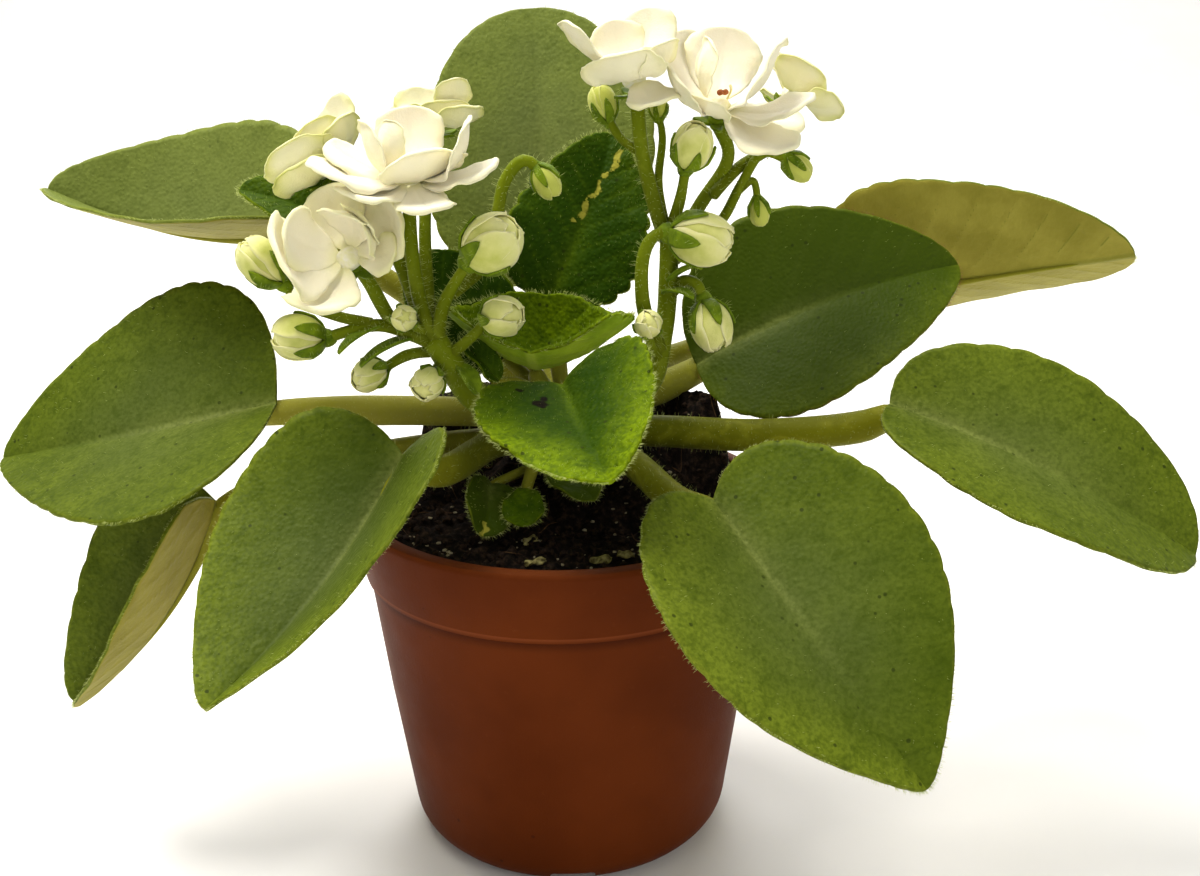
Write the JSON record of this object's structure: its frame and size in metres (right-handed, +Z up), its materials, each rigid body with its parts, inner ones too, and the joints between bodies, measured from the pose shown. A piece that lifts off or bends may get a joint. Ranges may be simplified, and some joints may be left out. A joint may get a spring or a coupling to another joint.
{
  "type": "potted african violet",
  "caption": "Flowering African violet rosette with heart-shaped scalloped leaves, branching flower stalks, semi-double white blooms and buds, in a small moulded nursery pot.",
  "frame": {"origin": "on the axis of the pot, level with the foot that it stands on", "axes": "+Z up along the axis of the pot, -Y the front of the plant, X across its widest spread of leaves"},
  "size_m": [0.2514, 0.1435, 0.1756],
  "materials": {
    "pot": "moulded polypropylene, terracotta brown, satin, faint scuffs",
    "soil": "damp black peat compost with pale specks",
    "leaf": "quilted hairy leaf, dark green above, yellow-green below, pale toothed margin",
    "young_leaf": "young hairy leaf, bright green with a paler margin",
    "stem": "fleshy yellow-green stalk covered in fine white hairs",
    "petal": "soft white petal with a yellow-green flush on its back and edge",
    "bud": "closed pale yellow-green petals",
    "anther": "orange-brown pollen sacs"
  },
  "bodies": {
    "root": {"pot": "pot", "soil": "soil", "crown": "stem", "leaf_rear_left": "leaf", "leaf_rear": "leaf", "leaf_rear_right": "leaf", "leaf_mid_right": "leaf", "leaf_right": "leaf", "leaf_front_right": "leaf", "leaf_front_left": "leaf", "leaf_left": "leaf", "leaf_low_left": "leaf", "leaf_small_left": "young_leaf", "leaf_upright": "young_leaf", "leaf_cup": "young_leaf", "leaf_folded": "young_leaf", "leaf_inner_left": "young_leaf", "leaf_heart": "young_leaf", "shoot_left": "young_leaf", "shoot_middle": "young_leaf", "shoot_right": "young_leaf", "flower_stalk_left": "stem", "flower_stalk_right": "stem", "bloom_left_1": "petal", "bloom_left_2": "petal", "bloom_left_3": "petal", "bloom_left_4": "petal", "bloom_right_1": "petal", "bloom_right_2": "petal", "bloom_right_3": "petal", "anthers_left_1": "anther", "anthers_right_1": "anther", "anthers_right_2": "anther", "bud_left_1": "bud", "bud_left_2": "bud", "bud_left_3": "bud", "bud_left_4": "bud", "bud_left_5": "bud", "bud_left_6": "bud", "bud_left_7": "bud", "bud_right_1": "bud", "bud_right_2": "bud", "bud_right_3": "bud", "bud_right_4": "bud"}
  },
  "joints": []
}
